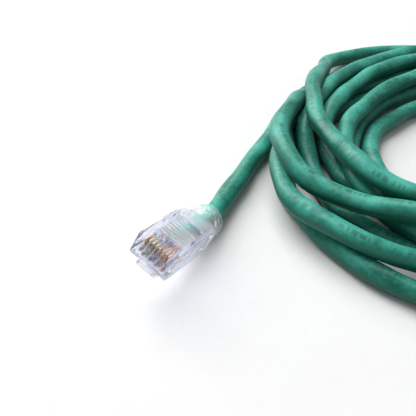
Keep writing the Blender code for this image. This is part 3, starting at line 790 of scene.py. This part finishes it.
# %% Loft the boots
AROUND = 72
NECK_HALF = 4.90 * MM
NECK_LOW = 0.25 * MM
NECK_HIGH = 6.438 * MM
BOOT_GAP = 0.15 * MM
BOOT_START = 16.50 * MM
BOOT_HALF = 5.95 * MM
BOOT_LOW = -0.50 * MM
BOOT_HIGH = 7.60 * MM
TAPER_END = 24.20 * MM
SLEEVE = 4.05 * MM
RING = 4.80 * MM
RING_PITCH = 1.30 * MM
BORE = 3.35 * MM
ROUNDING = 0.12 * MM
LIP = 0.2 * MM
SQUARE, ROUND, NECK_SQUARE = 7.0, 2.0, 9.0


def boot_sections():
    """Rows of (y, half width, low, high, squareness) along the outside and back along the inside."""
    round_low, round_high = CABLE_AXIS - SLEEVE, CABLE_AXIS + SLEEVE
    rows = []
    length = TAPER_END - BOOT_START
    rows.append((BOOT_START, BOOT_HALF - ROUNDING, BOOT_LOW + ROUNDING, BOOT_HIGH - ROUNDING, SQUARE))
    rows.append((BOOT_START + ROUNDING, BOOT_HALF, BOOT_LOW, BOOT_HIGH, SQUARE))
    for step in range(1, 13):
        t = step / 12
        blend = t * t * (3 - 2 * t)
        late = max(0.0, (t - 0.25) / 0.75)
        late = late * late * (3 - 2 * late)
        half = BOOT_HALF + (SLEEVE - BOOT_HALF) * late
        low = BOOT_LOW + (round_low - BOOT_LOW) * blend
        high = BOOT_HIGH + (round_high - BOOT_HIGH) * late
        rows.append((BOOT_START + length * t, half, low, high, SQUARE + (ROUND - SQUARE) * late))
    for number in range(3):
        start = BOOT_END - (3 - number) * RING_PITCH
        for share in np.linspace(0.0, 1.0, 9):
            lift = (RING - SLEEVE) * math.sin(math.pi * min(1.0, max(0.0, (share - 0.1) / 0.85))) ** 0.6
            radius = SLEEVE + lift
            y = start + share * RING_PITCH * 0.97
            rows.append((y, radius, CABLE_AXIS - radius, CABLE_AXIS + radius, ROUND))
    for y, radius in ((BOOT_END, BORE + LIP), (BOOT_END - LIP, BORE), (BODY_END + 0.6 * MM, BORE)):
        rows.append((y, radius, CABLE_AXIS - radius, CABLE_AXIS + radius, ROUND))
    inner = (NECK_HALF + BOOT_GAP, NECK_LOW - BOOT_GAP, NECK_HIGH + BOOT_GAP, NECK_SQUARE)
    rows.append((BODY_END, *inner))
    rows.append((BOOT_START, *inner))
    return np.array(rows)


def boot(tag):
    """Closed wall through the sections, as a grid of rows and angles."""
    rows = boot_sections()
    angle = math.tau * (np.arange(AROUND) + 0.5) / AROUND
    c, s = np.cos(angle)[None, :], np.sin(angle)[None, :]
    power = 2.0 / rows[:, 4:5]
    x = rows[:, 1:2] * np.sign(c) * np.abs(c) ** power
    middle, half = (rows[:, 2:3] + rows[:, 3:4]) / 2, (rows[:, 3:4] - rows[:, 2:3]) / 2
    z = middle + half * np.sign(s) * np.abs(s) ** power
    y = np.repeat(rows[:, 0:1], AROUND, 1)
    points = to_world(PLUGS[tag], np.stack([x, y, z], -1))
    piece = add_piece(f"boot_{tag}_clear", points, grid_faces(len(rows), AROUND, wrap_rows=True))
    face_outward(piece)
    piece.data.set_sharp_from_angle(angle=math.radians(40))
    piece.data.materials.append(CLEAR_VINYL)
    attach(piece, "root")
    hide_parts(f"boot_{tag}")
    return piece


boots = {tag: boot(tag) for tag in "ab"}
print("boots:", [len(piece.data.polygons) for piece in boots.values()], "faces")

# %% [markdown]
# ## The eight wires
# Four twisted pairs end in the plug: one wire of each pair is plain and its partner is white with a
# stripe. They lie side by side in two staggered rows of the load bar, and behind it they draw
# together into the jacket. Each wire is a tube round its own line, closed by a copper end that the
# front wall of the plug shows.

# %% Sweep the wires
WIRE_RADIUS = 0.43 * MM
COPPER_RADIUS = 0.17 * MM
WIRE_START = 0.80 * MM
BAR_END = 6.20 * MM
PITCH = 1.016 * MM
UPPER_ROW = 2.32 * MM
LOWER_ROW = 1.38 * MM
WIRE_SPREAD = 0.58 * MM
WIRE_GAP = 0.15 * MM
WIRE_SIDES = 20
WHITE = (0.86, 0.84, 0.80, 1.0)
PAIRS = {
    1: ("white_orange", (0.90, 0.25, 0.03, 1.0), True),
    2: ("orange", (0.90, 0.25, 0.03, 1.0), False),
    3: ("white_green", (0.03, 0.38, 0.10, 1.0), True),
    4: ("blue", (0.03, 0.09, 0.50, 1.0), False),
    5: ("white_blue", (0.03, 0.09, 0.50, 1.0), True),
    6: ("green", (0.03, 0.38, 0.10, 1.0), False),
    7: ("white_brown", (0.30, 0.10, 0.03, 1.0), True),
    8: ("brown", (0.30, 0.10, 0.03, 1.0), False),
}


def wire_line(pin):
    """Line of a wire in the plug's frame: straight in the bar, then blended to the jacket's end."""
    x = (4.5 - pin) * PITCH
    z = UPPER_ROW if pin % 2 == 0 else LOWER_ROW
    rise = WIRE_SPREAD if pin % 2 == 0 else -WIRE_SPREAD
    end = np.array([x / 2, JACKET_START - WIRE_GAP, CABLE_AXIS + rise])
    straight = np.linspace(WIRE_START, BAR_END, 14)
    first = np.stack([np.full(14, x), straight, np.full(14, z)], 1)
    t = np.linspace(0, 1, 22)[1:, None]
    blend = t * t * (3 - 2 * t)
    second = np.array([x, BAR_END, z]) + (end - np.array([x, BAR_END, z])) * np.hstack([blend, t, blend])
    return np.vstack([first, second])


def wire_finish(name, colour, striped):
    """Insulation in one colour, or white with a winding stripe, and copper at the cut end."""
    made, tree, shader = new_finish(f"wire_{name}", IOR=1.5)
    place = tree.nodes.new("ShaderNodeUVMap")
    place.uv_map = "run"
    split = tree.nodes.new("ShaderNodeSeparateXYZ")
    tree.links.new(place.outputs[0], split.inputs[0])
    mask = use_group(tree, SPECKLE, Scale=2200.0, Fine=0.4, Contrast=1.2)
    darker = tuple(0.78 * v for v in colour[:3]) + (1.0,)
    skin = mix_colour(tree, mask, colour, darker)
    if striped:
        turn = math_node(tree, "MULTIPLY", split.outputs[0], 0.16)
        wound = math_node(tree, "FRACT", math_node(tree, "ADD", split.outputs[1], turn))
        stripe = math_node(tree, "LESS_THAN", wound, 0.30)
        skin = mix_colour(tree, stripe, WHITE, skin)
    bare = math_node(tree, "LESS_THAN", split.outputs[0], -0.01)
    tree.links.new(mix_colour(tree, bare, skin, (0.42, 0.17, 0.08, 1.0)), shader.inputs["Base Color"])
    tree.links.new(bare, shader.inputs["Metallic"])
    tree.links.new(spread_range(tree, mask, 0.30, 0.45), shader.inputs["Roughness"])
    return made


def wire(tag, pin, finish):
    """Tube round a wire's line; two small rings before it make the bare copper end."""
    line = to_world(PLUGS[tag], wire_line(pin))
    nose = (line[0] - line[1]) / np.linalg.norm(line[0] - line[1])
    copper = [line[0] + nose * ahead for ahead in (0.06 * MM, 0.05 * MM, 1e-6)]
    line = np.vstack([*copper, line[0], line])
    run, side, up = along_and_frames(line)
    along = (run - run[3]) * 1000
    along[:3] = -1.0
    along[3:] = np.maximum(along[3:], 0.0)
    radius = np.full(len(line), WIRE_RADIUS)
    radius[:4] = COPPER_RADIUS * np.array([0.7, 1.0, 1.0, 1.0])
    side[:4], up[:4] = side[5], up[5]
    piece = add_tube(f"wire_{tag}{pin}_skin", line, side, up, radius[:, None], along, WIRE_SIDES)
    piece.data.set_sharp_from_angle(angle=math.radians(50))
    piece.data.materials.append(finish)
    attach(piece, "root")
    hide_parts(f"wire_{tag}{pin}")
    return piece


WIRE_FINISHES = {pin: wire_finish(*pair) for pin, pair in PAIRS.items()}
wires = {}
for tag in "ab":
    for pin, (name, _, _) in PAIRS.items():
        wires[f"{tag}{pin}"] = wire(tag, pin, WIRE_FINISHES[pin])
print("wires:", len(wires))

second_plug = [piece for node, piece in mouldings.items() if node.rsplit("_", 1)[1].startswith("b")]
second_plug += [boots["b"]] + [piece for key, piece in wires.items() if key.startswith("b")]
print("cable declared, with", len(second_plug), "pieces on it")

# %% [markdown]
# ## Table and light
# The cable lies on a white painted table in very bright, soft daylight from the upper left and
# behind. A wide pale world gives the soft fill. A large lamp high behind on the left gives the broad
# highlights on the jacket, and a smaller, lower one on the same side models its flank. Their size
# keeps the shadows soft.

# %% Table, lamps and world
TABLE_HALF = 1.6


def table_finish():
    """White paint with a faint speckle and unevenness."""
    made, tree, shader = new_finish("white_paint")
    mask = use_group(tree, SPECKLE, Scale=60.0, Fine=0.8, Contrast=1.0)
    white = mix_colour(tree, mask, (0.835, 0.835, 0.835, 1.0), (0.80, 0.80, 0.795, 1.0))
    tree.links.new(white, shader.inputs["Base Color"])
    tree.links.new(spread_range(tree, mask, 0.55, 0.75), shader.inputs["Roughness"])
    add_bump(tree, shader, use_group(tree, RIPPLE, Scale=300.0, Grain=0.4), 0.15, 0.0003)
    return made


corner = TABLE_HALF * np.array([(-1, -1), (1, -1), (1, 1), (-1, 1)])
table = add_piece("table", np.hstack([corner, np.zeros((4, 1))]), np.array([[0, 1, 2, 3]]))
table.data.materials.append(table_finish())


def add_lamp(name, place, target, size, power, colour):
    """A square area lamp at a place, turned to a target."""
    data = bpy.data.lights.new(name, "AREA")
    data.size = size
    data.energy = power
    data.color = colour
    made = bpy.data.objects.new(name, data)
    bpy.context.scene.collection.objects.link(made)
    made.location = place
    made.rotation_euler = (Vector(target) - Vector(place)).to_track_quat("-Z", "Y").to_euler()
    return made


LAMP_AIM = (0.03, 0.05, 0.0)
add_lamp("roof_light", (-1.60, 1.10, 2.45), LAMP_AIM, 2.8, 112.0, (1.0, 1.0, 1.0))
add_lamp("window", (-2.60, 0.90, 1.20), LAMP_AIM, 1.8, 42.0, (1.0, 1.0, 1.0))
world = bpy.data.worlds.new("daylight")
world.use_nodes = True
background = world.node_tree.nodes["Background"]
background.inputs["Color"].default_value = (0.97, 0.98, 1.0, 1.0)
background.inputs["Strength"].default_value = 0.32
bpy.context.scene.world = world
bpy.context.scene.view_settings.view_transform = "Standard"
print("table and lamps ready")
